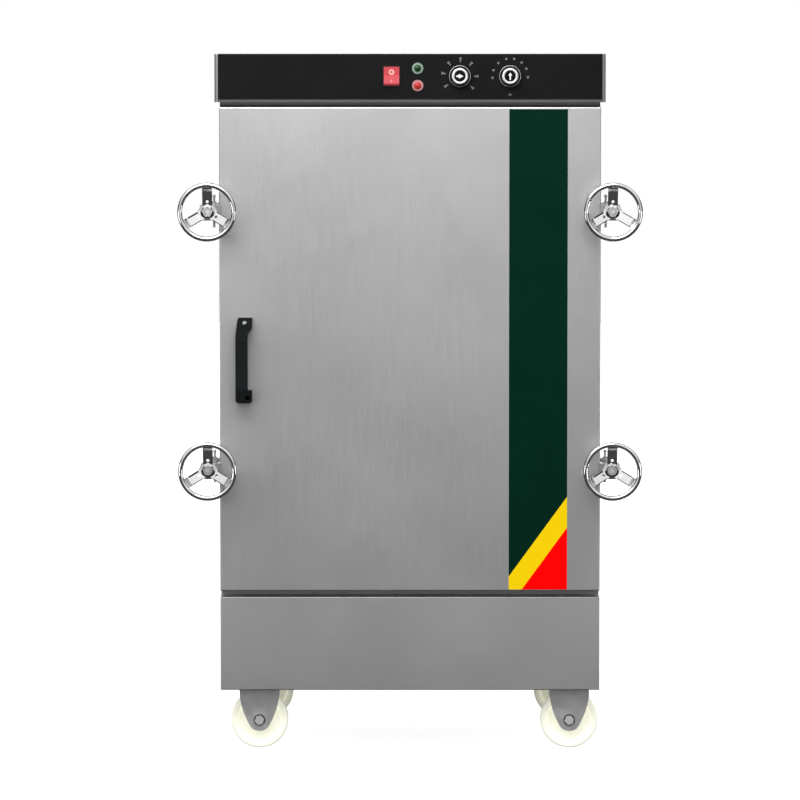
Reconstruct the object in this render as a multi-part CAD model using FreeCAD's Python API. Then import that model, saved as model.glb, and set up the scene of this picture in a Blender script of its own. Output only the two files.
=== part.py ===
import FreeCAD, Part
import math
import os

# Commercial rice steamer: single-door cabinet on four wheels, eight trays.
# Millimetres, +X to the right seen from the front, +Y to the rear, +Z up.
# Origin: on the floor, under the centre of the bounding box.

V = FreeCAD.Vector
os.makedirs("parts", exist_ok=True)

# ---------------------------------------------------------------- driving sizes
WIDTH = 680.0              # cabinet and door width
HEIGHT = 1248.0            # floor to top of control box
DOOR_FRONT = -272.0        # front face of the door
DOOR_BACK = -230.0         # back face of the door's folded edge
FRAME_FRONT = -224.0       # front face of the cabinet frame
REAR = 288.0               # outer face of the rear panel
SHEET = 1.2                # outer and liner sheet thickness

BASE_Z0, BASE_Z1 = 109.5, 277.5
DOOR_Z0, DOOR_Z1 = 288.5, 1153.5
DECK_Z = 1154.5            # top of the cabinet, underside of the neck
HOOD_Z = 1162.0            # underside of the control box
HOOD_HALF = 347.8          # half width of the control box
FASCIA_FRONT = -279.0

MOUTH_HALF = 304.0         # half width of the chamber mouth
MOUTH_Z0, MOUTH_Z1 = 322.0, 1108.0
LINER_HALF = 305.5
LINER_BACK = 256.8
TANK_FLOOR = 160.0

CLAMP_Z = (967.6, 506.4)   # heights of the upper and lower clamps
PIN_X, PIN_Y = 353.0, -170.0   # clamp pivot pins
BOLT_X = 360.4             # axis of the threaded rods and handwheels
PIN_R = 3.0
ROD_R = 6.0                # M12 rod
WHEEL_R = 52.2             # handwheel outer radius
RIM_R = 4.3                # handwheel rim section radius
RIM_Y = -318.0
LUG_FRONT = -279.0
RUN = 0.05                 # radial running clearance

TRAY_N = 8
TRAY_RIM_Z = 388.0         # rim height of the lowest tray
TRAY_PITCH = 97.0
TRAY_Y0, TRAY_Y1 = -195.0, 205.0
TRAY_HALF = 300.0
TRAY_DEPTH = 48.0

CASTER_R = 51.5
CASTER_Y = 215.0
CASTER_XL, CASTER_XR = -271.0, 287.0
CASTER_TRAIL = 30.0
CHASSIS_Z = 130.0

PANEL_Z = 1208.0           # height of the control row
ROCKER_X = -33.0
PILOT_X, PILOT_ZS = 13.4, (1222.0, 1191.5)
KNOB_XS = (88.4, 177.6)

nodes = {}


# ---------------------------------------------------------------- helpers
def box(x0, x1, y0, y1, z0, z1):
    return Part.makeBox(x1 - x0, y1 - y0, z1 - z0, V(x0, y0, z0))


def cyl(r, p, d, h):
    return Part.makeCylinder(r, h, V(*p), V(*d))


def cyl_y(r, x, z, y0, y1):
    return Part.makeCylinder(r, y1 - y0, V(x, y0, z), V(0, 1, 0))


def cyl_z(r, x, y, z0, z1):
    return Part.makeCylinder(r, z1 - z0, V(x, y, z0), V(0, 0, 1))


def fuse(first, *rest):
    s = first
    for r in rest:
        s = s.fuse(r)
    return s.removeSplitter()


def cut(first, *rest):
    s = first
    for r in rest:
        s = s.cut(r)
    return s


def prism(pts, direction):
    w = Part.makePolygon([V(*p) for p in pts] + [V(*pts[0])])
    return Part.Face(w).extrude(V(*direction))


def mirror_x(s):
    return s.mirror(V(0, 0, 0), V(1, 0, 0))


def moved(s, x=0, y=0, z=0):
    c = s.copy()
    c.translate(V(x, y, z))
    return c


def hexagon(af, x, y0, y1, z, turn=0):
    r = af / math.sqrt(3)
    pts = [(x + r * math.cos(math.radians(60 * i + turn)), y0, z + r * math.sin(math.radians(60 * i + turn))) for i in range(6)]
    return prism(pts, (0, y1 - y0, 0))


def vertical_edges(s, test):
    out = []
    for e in s.Edges:
        a, b = e.Vertexes[0].Point, e.Vertexes[-1].Point
        if abs(a.x - b.x) < 1e-6 and abs(a.y - b.y) < 1e-6 and abs(a.z - b.z) > 1 and test(a):
            out.append(e)
    return out


def edges_where(s, test):
    out = []
    for e in s.Edges:
        if len(e.Vertexes) == 2 and test(e.Vertexes[0].Point, e.Vertexes[1].Point):
            out.append(e)
    return out


def put(name, *shapes):
    solids = []
    for s in shapes:
        solids.extend(s.Solids)
    for s in solids:
        if not s.isValid() or s.Volume <= 0:
            print("BAD SOLID", name, s.isValid(), s.Volume)
    nodes[name] = solids
    shape = solids[0] if len(solids) == 1 else Part.makeCompound(solids)
    shape.exportStep("parts/%s.step" % name)


H2 = WIDTH / 2

# ---------------------------------------------------------------- cabinet shell
# pipes that pass through the rear wall
VENT = (-200.0, 1070.0)
INLET = (-262.0, 250.0)
DRAIN = (240.0, 146.5)
GLAND = (250.0, 1207.0)

rear = box(-H2 + SHEET, H2 - SHEET, REAR - SHEET, REAR, BASE_Z0, DECK_Z)
rear = cut(rear,
           cyl_y(16.5, VENT[0], VENT[1], REAR - 5, REAR + 5),
           cyl_y(11.0, INLET[0], INLET[1], REAR - 5, REAR + 5),
           cyl_y(11.0, DRAIN[0], DRAIN[1], REAR - 5, REAR + 5))
side_l = box(-H2, -H2 + SHEET, FRAME_FRONT, REAR, BASE_Z0, DECK_Z)
side_r = box(H2 - SHEET, H2, FRAME_FRONT, REAR, BASE_Z0, DECK_Z)
put("outer_casing", side_l, side_r, rear)

# ring frame round the chamber mouth, folded sections 1.5 mm
T = 1.5
xi = H2 - SHEET
stile = fuse(box(MOUTH_HALF, xi, FRAME_FRONT, FRAME_FRONT + T, BASE_Z1, DECK_Z),
             box(MOUTH_HALF, MOUTH_HALF + T, FRAME_FRONT, FRAME_FRONT + 24, MOUTH_Z0 - T, MOUTH_Z1 + T))
top_rail = fuse(box(-MOUTH_HALF, MOUTH_HALF, FRAME_FRONT, FRAME_FRONT + T, MOUTH_Z1, DECK_Z),
                box(-MOUTH_HALF, MOUTH_HALF, FRAME_FRONT, FRAME_FRONT + 24, MOUTH_Z1, MOUTH_Z1 + T))
bottom_rail = fuse(box(-MOUTH_HALF, MOUTH_HALF, FRAME_FRONT, FRAME_FRONT + T, BASE_Z1, MOUTH_Z0),
                   box(-MOUTH_HALF, MOUTH_HALF, FRAME_FRONT, FRAME_FRONT + 24, MOUTH_Z0 - T, MOUTH_Z0))
put("front_frame", stile, mirror_x(stile), top_rail, bottom_rail)

# neck under the control box: shallow upright tray
deck = cut(box(-339, 339, -262, REAR - 1, DECK_Z, HOOD_Z),
           box(-339 + SHEET, 339 - SHEET, -262 + SHEET, REAR - 1 - SHEET, DECK_Z + SHEET, HOOD_Z + 5))
put("top_deck", deck)

# base front: folded panel with side and top returns, foot flange at the bottom
bf = box(-H2, H2, -270, FRAME_FRONT, BASE_Z0, BASE_Z1)
bf = bf.makeFillet(2.0, edges_where(bf, lambda a, b: abs(a.y + 270) < 1e-6 and abs(b.y + 270) < 1e-6))
bf = cut(bf, box(-H2 + SHEET, H2 - SHEET, -270 + SHEET, FRAME_FRONT + 5, BASE_Z0 + SHEET, BASE_Z1 - SHEET),
         box(-H2 + SHEET, H2 - SHEET, -250, FRAME_FRONT + 5, BASE_Z0 - 5, BASE_Z0 + 5))
put("base_front_panel", bf)

# chassis plate that carries the casters
chassis = fuse(box(-338, 338, -266, 286, CHASSIS_Z, CHASSIS_Z + 3),
               box(-338, 338, 283, 286, CHASSIS_Z - 14, CHASSIS_Z),
               box(-338, -335, -222, 283, CHASSIS_Z - 14, CHASSIS_Z),
               box(335, 338, -222, 283, CHASSIS_Z - 14, CHASSIS_Z))
put("chassis", chassis)

# ---------------------------------------------------------------- chamber and tank
LX = LINER_HALF
ly0 = FRAME_FRONT + T
lz1 = MOUTH_Z1 + T
ELEMENT_XS = (-130.0, 40.0, 210.0)
ELEMENT_Z = 190.0
ELEMENT_HALF = 32.0
back = box(-LX, LX, LINER_BACK, LINER_BACK + SHEET, TANK_FLOOR + SHEET, lz1)
back = cut(back,
           cyl_y(16.2, VENT[0], VENT[1], LINER_BACK - 5, LINER_BACK + 5),
           cyl_y(10.7, INLET[0], INLET[1], LINER_BACK - 5, LINER_BACK + 5))
for ex in ELEMENT_XS:
    for s in (-1, 1):
        back = cut(back, cyl_y(5.4, ex + s * ELEMENT_HALF, ELEMENT_Z, LINER_BACK - 5, LINER_BACK + 5))
floor_sheet = cut(box(-LX, LX, ly0, LINER_BACK + SHEET, TANK_FLOOR, TANK_FLOOR + SHEET),
                  cyl_z(10.2, DRAIN[0], 190, TANK_FLOOR - 5, TANK_FLOOR + 5))
put("chamber_liner",
    box(-LX - SHEET, -LX, FRAME_FRONT + 24, LINER_BACK + SHEET, TANK_FLOOR, lz1 + SHEET),
    box(LX, LX + SHEET, FRAME_FRONT + 24, LINER_BACK + SHEET, TANK_FLOOR, lz1 + SHEET),
    back,
    box(-LX, LX, FRAME_FRONT + 24, LINER_BACK + SHEET, lz1, lz1 + SHEET),
    floor_sheet,
    box(-LX, LX, ly0, ly0 + SHEET, TANK_FLOOR + SHEET, MOUTH_Z0 - T))

# mineral-wool slabs between liner and casing
ins_back = box(-LX, LX, LINER_BACK + SHEET + 0.5, REAR - SHEET - 0.8, 282, lz1)
ins_back = cut(ins_back, cyl_y(17, VENT[0], VENT[1], 250, 300))
put("insulation",
    box(-xi + 0.5, -LX - SHEET - 6, ly0 + 2, REAR - SHEET - 0.8, 282, lz1),
    box(LX + SHEET + 6, xi - 0.5, ly0 + 2, REAR - SHEET - 0.8, 282, lz1),
    ins_back,
    box(-xi + 0.5, xi - 0.5, ly0 + 2, REAR - SHEET - 0.8, lz1 + SHEET + 0.5, lz1 + SHEET + 25))

# ---------------------------------------------------------------- tray rack
rack = []
for side in (-1, 1):
    def sx(a, b):
        return (a, b) if side > 0 else (-b, -a)
    x0, x1 = sx(303.5, 305.5)
    for uy in (-165.0, 175.0):
        rack.append(box(x0, x1, uy, uy + 22, 345, 1090))
    x0, x1 = sx(291.0, 303.5)
    for k in range(TRAY_N):
        z = TRAY_RIM_Z + k * TRAY_PITCH - 1.2
        rack.append(box(x0, x1, -190, 205.5, z - 1.5, z))
    rack.append(box(x0, x1, 205.5, 208, 345, 1090))
put("tray_rack", *rack)

for k in range(TRAY_N):
    zr = TRAY_RIM_Z + k * TRAY_PITCH
    hx, y0, y1 = 287.0, TRAY_Y0 + 8, TRAY_Y1 - 8
    body = box(-hx, hx, y0, y1, zr - TRAY_DEPTH, zr)
    body = body.makeFillet(6.0, vertical_edges(body, lambda p: True) + edges_where(body, lambda a, b: a.z < zr - 40 and b.z < zr - 40))
    rim = box(-TRAY_HALF, TRAY_HALF, TRAY_Y0, TRAY_Y1, zr - 1, zr)
    rim = rim.makeFillet(8.0, [e for e in rim.Edges if abs(e.Vertexes[0].Point.z - e.Vertexes[-1].Point.z) > 0.5])
    inner = box(-hx + 1, hx - 1, y0 + 1, y1 - 1, zr - TRAY_DEPTH + 1, zr + 5)
    inner = inner.makeFillet(5.0, vertical_edges(inner, lambda p: True) + edges_where(inner, lambda a, b: a.z < zr - 40 and b.z < zr - 40))
    tray = cut(body.fuse(rim), inner).removeSplitter()
    put("tray_%d" % (k + 1), tray)

# ---------------------------------------------------------------- water side
elements = []
for ex in ELEMENT_XS:
    y_bend = -140.0
    legs = [cyl_y(5.2, ex + s * ELEMENT_HALF, ELEMENT_Z, y_bend, 276) for s in (-1, 1)]
    tor = Part.makeTorus(ELEMENT_HALF, 5.2, V(ex, y_bend, ELEMENT_Z), V(0, 0, 1))
    tor = tor.common(box(ex - 60, ex + 60, y_bend - 60, y_bend, ELEMENT_Z - 10, ELEMENT_Z + 10))
    flange = box(ex - 48, ex + 48, 252.8, 256.8, ELEMENT_Z - 16, ELEMENT_Z + 16)
    elements.append(fuse(legs[0], legs[1], tor, flange))
put("heating_elements", *elements)

# float valve: threaded spigot at the rear, body and yoke inside the tank
ix, iz = INLET
PIV_Y, PIV_Z = 214.0, 262.0
spigot = cyl_y(10.5, ix, iz, LINER_BACK, 322.3)
spigot = cut(spigot, cyl_y(6.5, ix, iz, 262, 323))
valve = fuse(spigot,
             cyl_y(15, ix, iz, 250.8, 256.8),
             box(ix - 11, ix + 11, 222, 250.8, iz - 13, iz + 16),
             box(ix - 11, ix - 7, 204, 222, iz + 4, iz + 20),
             box(ix + 7, ix + 11, 204, 222, iz + 4, iz + 20),
             cyl(2.5, (ix - 11, PIV_Y, PIV_Z), (1, 0, 0), 22))
nut = cut(hexagon(27, ix, 288.0, 294.0, iz), cyl_y(10.5, ix, iz, 280, 300))
put("inlet_valve", fuse(valve, nut))

FLOAT_TILT = 22.0
arm = fuse(cut(cyl(6.0, (ix - 6.5, PIV_Y, PIV_Z), (1, 0, 0), 13.0), cyl(2.5 + RUN, (ix - 12, PIV_Y, PIV_Z), (1, 0, 0), 24)),
           cyl(3.0, (ix, PIV_Y - 5, PIV_Z), (0, -1, 0), 95),
           Part.makeSphere(26, V(ix, PIV_Y - 118, PIV_Z)))
arm.rotate(V(ix, PIV_Y, PIV_Z), V(1, 0, 0), FLOAT_TILT)
put("float_arm", arm)

STEM_Y = 297.2
# drain: elbow under the tank floor, small ball valve behind the rear panel
dx, dz = DRAIN
pipe = fuse(cyl_z(10.0, dx, 190, dz, TANK_FLOOR + 3.5),
            Part.makeSphere(10.0, V(dx, 190, dz)),
            cyl_y(10.0, dx, dz, 190, 322.3),
            cyl_y(14.0, dx, dz, 289.5, 305),
            cyl_z(5.0, dx, STEM_Y, dz, dz + 18.0))
pipe = cut(pipe, cyl_y(6.5, dx, dz, 306, 323))
pipe = fuse(pipe, cyl_z(3.0, dx, STEM_Y, dz + 18, dz + 27))
put("drain_valve", pipe)
lever = fuse(cyl_z(7, dx, STEM_Y, dz + 18.4, dz + 22),
             box(dx - 58, dx, STEM_Y - 4.5, STEM_Y + 4.5, dz + 18.4, dz + 21.0),
             cyl_z(5.5, dx - 58, STEM_Y, dz + 17.4, dz + 23.0),
             box(dx - 58, dx - 26, STEM_Y - 5.5, STEM_Y + 5.5, dz + 17.4, dz + 23.0))
lever = cut(lever, cyl_z(3.0 + RUN, dx, STEM_Y, dz + 10, dz + 30))
put("drain_lever", lever)

# steam outlet tube with flange
vx, vz = VENT
vent = cut(fuse(cyl_y(16, vx, vz, LINER_BACK - 2, 322.3), cyl_y(28, vx, vz, REAR, REAR + 3)),
           cyl_y(14, vx, vz, 240, 330))
put("steam_vent", vent)

# ---------------------------------------------------------------- control box
hood = box(-HOOD_HALF, HOOD_HALF, FASCIA_FRONT + 5, REAR, HOOD_Z, HEIGHT)
ribs = [box(-HOOD_HALF, -HOOD_HALF + 6.1, FASCIA_FRONT, FASCIA_FRONT + 8, HOOD_Z, HEIGHT),
        box(HOOD_HALF - 6.1, HOOD_HALF, FASCIA_FRONT, FASCIA_FRONT + 8, HOOD_Z, HEIGHT)]
hood = fuse(hood, *ribs)
hood = hood.makeFillet(3.0, vertical_edges(hood, lambda p: abs(abs(p.x) - HOOD_HALF) < 1e-6))
hood = hood.makeFillet(1.5, edges_where(hood, lambda a, b: abs(a.z - HEIGHT) < 1e-6 and abs(b.z - HEIGHT) < 1e-6 and abs(a.x - b.x) > 300 and a.y > 0))
hood = cut(hood, box(-HOOD_HALF + SHEET, HOOD_HALF - SHEET, FASCIA_FRONT + 5 + SHEET, REAR - SHEET, HOOD_Z + SHEET, HEIGHT - SHEET),
           box(-337, 337, -258, REAR - 4, HOOD_Z - 5, HOOD_Z + 5))
rk_w, rk_h = 30.6, 36.6      # rocker cut-out
panel_cuts = [box(ROCKER_X - rk_w / 2, ROCKER_X + rk_w / 2, -290, -260, PANEL_Z - rk_h / 2, PANEL_Z + rk_h / 2)]
for pz in PILOT_ZS:
    panel_cuts.append(cyl_y(6.3, PILOT_X, pz, -290, -260))
for kx in KNOB_XS:
    panel_cuts.append(cyl_y(4.0, kx, PANEL_Z, -290, -260))
hood = cut(hood, *panel_cuts)
hood = cut(hood, cyl_y(9.3, GLAND[0], GLAND[1], REAR - 5, REAR + 5))
put("control_housing", hood)

fascia = box(-HOOD_HALF + 6.4, HOOD_HALF - 6.4, FASCIA_FRONT, FASCIA_FRONT + 5, HOOD_Z + 6.0, HEIGHT - 0.6)
fascia = fascia.makeFillet(1.2, [e for e in fascia.Edges if abs(e.Vertexes[0].Point.y - FASCIA_FRONT) < 1e-6 and abs(e.Vertexes[-1].Point.y - FASCIA_FRONT) < 1e-6])
fascia = cut(fascia, *panel_cuts)
put("fascia_panel", fascia)

# rocker switch: bezel with barrel, tilting button
rb = fuse(box(ROCKER_X - 16.2, ROCKER_X + 16.2, -281, FASCIA_FRONT, PANEL_Z - 19.4, PANEL_Z + 19.4),
          box(ROCKER_X - 15.2, ROCKER_X + 15.2, FASCIA_FRONT, -252, PANEL_Z - 18.2, PANEL_Z + 18.2))
rb = cut(rb, box(ROCKER_X - 14.2, ROCKER_X + 14.2, -285, -255, PANEL_Z - 17.3, PANEL_Z + 17.3))
rb = fuse(rb, cyl(2.0, (ROCKER_X - 14.7, -272, PANEL_Z), (1, 0, 0), 29.4))
put("rocker_bezel", rb)
RPY = -272.0
pts = [(-15.2, -11.5), (-10, -10.6), (0, -8.6), (10, -10.6), (15.2, -11.5), (16.5, -3), (16.2, 3), (5, 6), (-5, 6), (-16.2, 3), (-16.5, -3)]
rocker = prism([(ROCKER_X - 13.8, RPY + b, PANEL_Z + a) for a, b in pts], (27.6, 0, 0))
rocker = cut(rocker, cyl(2.0 + RUN, (ROCKER_X - 20, RPY, PANEL_Z), (1, 0, 0), 40))
rocker.rotate(V(ROCKER_X, RPY, PANEL_Z), V(1, 0, 0), -9.0)
put("rocker_button", rocker)

pilots = []
for pz in PILOT_ZS:
    s = fuse(cyl_y(6.0, PILOT_X, pz, -284, -258), cyl_y(10.0, PILOT_X, pz, -281.5, FASCIA_FRONT))
    s = fuse(s, Part.makeSphere(9.0, V(PILOT_X, -277.3, pz)).common(cyl_y(6.0, PILOT_X, pz, -287, -283)))
    pilots.append(s)
put("green_pilot_light", pilots[0])
put("red_pilot_light", pilots[1])

# thermostat and timer: bodies behind the panel, shafts turn with the knobs
inner_face = FASCIA_FRONT + 5 + SHEET
for name, kx in (("thermostat", KNOB_XS[0]), ("timer", KNOB_XS[1])):
    if name == "thermostat":
        body = fuse(box(kx - 22, kx + 22, inner_face, inner_face + 30, PANEL_Z - 22, PANEL_Z + 22),
                    box(kx - 8, kx + 8, inner_face + 30, inner_face + 42, PANEL_Z - 15, PANEL_Z - 5))
    else:
        body = fuse(cyl_y(26, kx, PANEL_Z, inner_face, inner_face + 38),
                    box(kx - 12, kx + 12, inner_face + 38, inner_face + 46, PANEL_Z - 10, PANEL_Z + 10))
    body = cut(body, cyl_y(3.0 + RUN, kx, PANEL_Z, inner_face - 5, inner_face + 18))
    put(name, body)
    k = fuse(cyl_y(19.1, kx, PANEL_Z, -283.5, -279.5),
             Part.makeCone(13.4, 14.2, 12.5, V(kx, -296, PANEL_Z), V(0, 1, 0)),
             cyl_y(3.0, kx, PANEL_Z, -284, inner_face + 17))
    put(name + "_knob", k)

contactor = fuse(box(120, 165, 150, 225, DECK_Z + SHEET, DECK_Z + 70),
                 box(116, 169, 166, 209, DECK_Z + SHEET, DECK_Z + 52))
terminals = cut(box(190, 262, 180, 206, DECK_Z + SHEET, DECK_Z + 26),
                *[box(194 + 11.5 * i, 202 + 11.5 * i, 184, 202, DECK_Z + 16, DECK_Z + 30) for i in range(6)])
put("contactor", contactor, terminals)

gx, gz = GLAND
gland = fuse(cyl_y(9.0, gx, gz, 280, REAR + 1), hexagon(24, gx, REAR, REAR + 6, gz), cyl_y(10.5, gx, gz, REAR + 6, REAR + 12),
             hexagon(22, gx, REAR + 12, REAR + 20, gz), Part.makeCone(10.5, 7.5, 8, V(gx, REAR + 20, gz), V(0, 1, 0)))
gland = cut(gland, cyl_y(5.0, gx, gz, 270, 330))
put("cable_gland", gland)

# ---------------------------------------------------------------- door
dw, dz0, dz1 = H2, DOOR_Z0, DOOR_Z1
skin = box(-dw, dw, DOOR_FRONT, DOOR_BACK, dz0, dz1)
skin = skin.makeFillet(2.2, [e for e in skin.Edges if abs(e.Vertexes[0].Point.y - DOOR_FRONT) < 1e-6 and abs(e.Vertexes[-1].Point.y - DOOR_FRONT) < 1e-6])
skin = cut(skin, box(-dw + SHEET, dw - SHEET, DOOR_FRONT + SHEET, DOOR_BACK + 5, dz0 + SHEET, dz1 - SHEET))
put("door_skin", skin)
put("door_insulation", box(-dw + 1.5, dw - 1.5, DOOR_FRONT + 14, DOOR_BACK - 1.3, dz0 + 1.5, dz1 - 1.5))
inner = box(-dw + SHEET, dw - SHEET, DOOR_BACK - 1.0, DOOR_BACK, dz0 + SHEET, dz1 - SHEET)
raised = box(-296, 296, DOOR_BACK, DOOR_BACK + 4, 330, 1100)
raised = raised.makeFillet(3.0, [e for e in raised.Edges if abs(e.Vertexes[0].Point.y - DOOR_BACK - 4) < 1e-6 and abs(e.Vertexes[-1].Point.y - DOOR_BACK - 4) < 1e-6])
inner = fuse(inner, raised)
put("door_inner_panel", inner)
go, gi = 330.0, 314.0
gz0, gz1 = 296.0, 1134.0
put("door_gasket",
    box(-go, -gi, DOOR_BACK, FRAME_FRONT, gz0, gz1),
    box(gi, go, DOOR_BACK, FRAME_FRONT, gz0, gz1),
    box(-gi, gi, DOOR_BACK, FRAME_FRONT, gz0, gz0 + 16),
    box(-gi, gi, DOOR_BACK, FRAME_FRONT, gz1 - 16, gz1))

# pull handle: two feet on the door, grip bar offset to the left of them
hz0, hz1 = 626.5, 778.5
side = [(DOOR_FRONT, hz0), (-298, hz0), (-311, hz0 + 6), (-315, hz0 + 26), (-315, hz1 - 40), (-308, hz1 - 22), (-292, hz1 - 8), (-284, hz1), (DOOR_FRONT, hz1)]
profile = prism([(-310.5, y, z) for y, z in side], (29, 0, 0))
front = [(-310.5, hz0 + 4), (-306.5, hz0), (-286, hz0), (-281.5, hz0 + 4), (-281.5, hz0 + 24), (-288.7, hz0 + 25), (-288.7, hz1 - 29.5), (-281.5, hz1 - 17.5), (-281.5, hz1), (-306.5, hz1), (-308, hz1 - 8), (-310.5, hz1 - 32)]
outline = prism([(x, -330, z) for x, z in front], (0, 70, 0))
handle = profile.common(outline)
gap = [(DOOR_FRONT + 1, hz0 + 22), (-292, hz0 + 24), (-301, hz0 + 34), (-301, hz1 - 46), (-290, hz1 - 30), (DOOR_FRONT + 1, hz1 - 22)]
handle = cut(handle, prism([(-330, y, z) for y, z in gap], (70, 0, 0)))
SCREW = (-295.0, hz1 - 8.5)
SCREW2 = (-289.0, hz0 + 11.0)
handle = cut(handle, cyl_y(4.2, SCREW[0], SCREW[1], -330, -281), cyl_y(4.2, SCREW2[0], SCREW2[1], -330, -281),
             cyl_y(2.1, SCREW[0], SCREW[1], -330, -260), cyl_y(2.1, SCREW2[0], SCREW2[1], -330, -260))
screws = []
for sxp, szp in (SCREW, SCREW2):
    screws.append(fuse(cyl_y(3.6, sxp, szp, -283, -281), cyl_y(2.0, sxp, szp, -281.5, DOOR_FRONT)))
put("pull_handle", handle, *screws)

# ---------------------------------------------------------------- clamps
brackets, fasteners, lugs = [], [], []
arm_shapes = {}
for zc in CLAMP_Z:
    b = box(H2, H2 + 3, PIN_Y - 34, PIN_Y + 34, zc - 38, zc + 38)
    b = b.makeFillet(6.0, [e for e in b.Edges if abs(e.Vertexes[0].Point.x - e.Vertexes[-1].Point.x) > 2])
    for e0, e1 in ((9.6, 13.6), (-13.6, -9.6)):
        ear = fuse(box(H2 + 2, PIN_X, PIN_Y - 9, PIN_Y + 9, zc + e0, zc + e1), cyl_z(9, PIN_X, PIN_Y, zc + e0, zc + e1))
        b = b.fuse(ear)
    b = b.removeSplitter()
    b = cut(b, cyl_z(PIN_R, PIN_X, PIN_Y, zc - 30, zc + 30))
    for sy in (-20, 20):
        for sz in (-27, 27):
            b = cut(b, cyl(2.6, (H2 - 5, PIN_Y + sy, zc + sz), (1, 0, 0), 20),
                    Part.makeCone(2.6, 5.2, 2.6, V(H2 + 0.4, PIN_Y + sy, zc + sz), V(1, 0, 0)))
    # shouldered pin: shank between the ears, slimmer stem above with a ball grip, plain tail below
    pin = fuse(cyl_z(PIN_R, PIN_X, PIN_Y, zc - 15.6, zc + 14.0), cyl_z(4.2, PIN_X, PIN_Y, zc + 13.6, zc + 15.6),
               cyl_z(1.9, PIN_X, PIN_Y, zc + 15.0, zc + 25.0), Part.makeSphere(2.9, V(PIN_X, PIN_Y, zc + 25.5)),
               cyl_z(4.0, PIN_X, PIN_Y, zc - 16.2, zc - 13.6), cyl_z(2.1, PIN_X, PIN_Y, zc - 31, zc - 15.6))
    lug = fuse(box(H2, H2 + 4, -270, -236, zc - 11.5, zc + 11.5),
               prism([(H2 - 2, -273, zc - 11.5), (374.5, -273, zc - 11.5), (374.5, LUG_FRONT + 2.6, zc - 11.5), (359.5, LUG_FRONT, zc - 11.5), (H2 - 2, LUG_FRONT, zc - 11.5)], (0, 0, 23)))
    lug = cut(lug, box(350.5, 380, -290, -265, zc - 6.5, zc + 6.5), box(H2 - 10, H2, -272.0, -230, zc - 20, zc + 20))
    for s in (1, -1):
        m = (lambda q: q) if s > 0 else mirror_x
        brackets.append(m(b))
        fasteners.append(m(pin))
        lugs.append(m(lug))
        for sy in (-20, 20):
            for sz in (-27, 27):
                scr = fuse(cyl(2.5, (H2 - 8, PIN_Y + sy, zc + sz), (1, 0, 0), 9),
                           Part.makeCone(2.5, 4.9, 2.4, V(H2 + 0.5, PIN_Y + sy, zc + sz), V(1, 0, 0)))
                fasteners.append(m(scr))
    arm_s = fuse(cyl_z(8.6, PIN_X, PIN_Y, zc - 9.2, zc + 9.2),
                 box(PIN_X - 6, BOLT_X + 8, PIN_Y - 26, PIN_Y - 4, zc - 8.0, zc + 8.0),
                 cyl_y(ROD_R, BOLT_X, zc, -300, PIN_Y - 10))
    arm_s = cut(arm_s, cyl_z(PIN_R + RUN, PIN_X, PIN_Y, zc - 20, zc + 20))
    # thread runout groove and chamfered rod end
    arm_s = cut(arm_s, cyl_y(ROD_R + 2, BOLT_X, zc, -306, -299).cut(Part.makeCone(ROD_R - 1, ROD_R, 1, V(BOLT_X, -300, zc), V(0, 1, 0))).common(cyl_y(ROD_R + 2, BOLT_X, zc, -301, -299)))
    arm_shapes[zc] = arm_s
put("clamp_brackets", *brackets)

# screws enter the casing sheet: their holes
cas = [side_l, side_r]
for zc in CLAMP_Z:
    for sy in (-20, 20):
        for sz in (-27, 27):
            c = cyl(2.6, (-400, PIN_Y + sy, zc + sz), (1, 0, 0), 800)
            cas = [q.cut(c) for q in cas]
put("outer_casing", cas[0], cas[1], rear)
ins = nodes["insulation"]
ins_new = []
for q in ins:
    for zc in CLAMP_Z:
        for sy in (-20, 20):
            for sz in (-27, 27):
                if q.BoundBox.XLength < 50:
                    q = q.cut(cyl(3.5, (-400, PIN_Y + sy, zc + sz), (1, 0, 0), 70)).cut(cyl(3.5, (330, PIN_Y + sy, zc + sz), (1, 0, 0), 70))
    ins_new.append(q)
put("insulation", *ins_new)
put("clamp_fasteners", *fasteners)
put("door_lugs", *lugs)
put("right_swing_arms", arm_shapes[CLAMP_Z[0]], arm_shapes[CLAMP_Z[1]])
put("left_upper_swing_arm", mirror_x(arm_shapes[CLAMP_Z[0]]))
put("left_lower_swing_arm", mirror_x(arm_shapes[CLAMP_Z[1]]))

WASH_Y = LUG_FRONT - 0.4     # back face of the thrust washer


def washer(x, z):
    return cut(cyl_y(13.5, x, z, WASH_Y - 3.0, WASH_Y), cyl_y(ROD_R + RUN, x, z, WASH_Y - 10, WASH_Y + 10))


def spoke_profile(thick):
    # (radius, y) centre line of the dished spoke, front face first
    f = [(0.0, -294.0), (9.5, -294.0), (36.8, -306.5), (39.4, -314.8), (43.2, -312.2), (48.6, -315.2)]
    b = [(r, y + thick) for r, y in reversed(f)]
    return f + b


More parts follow.
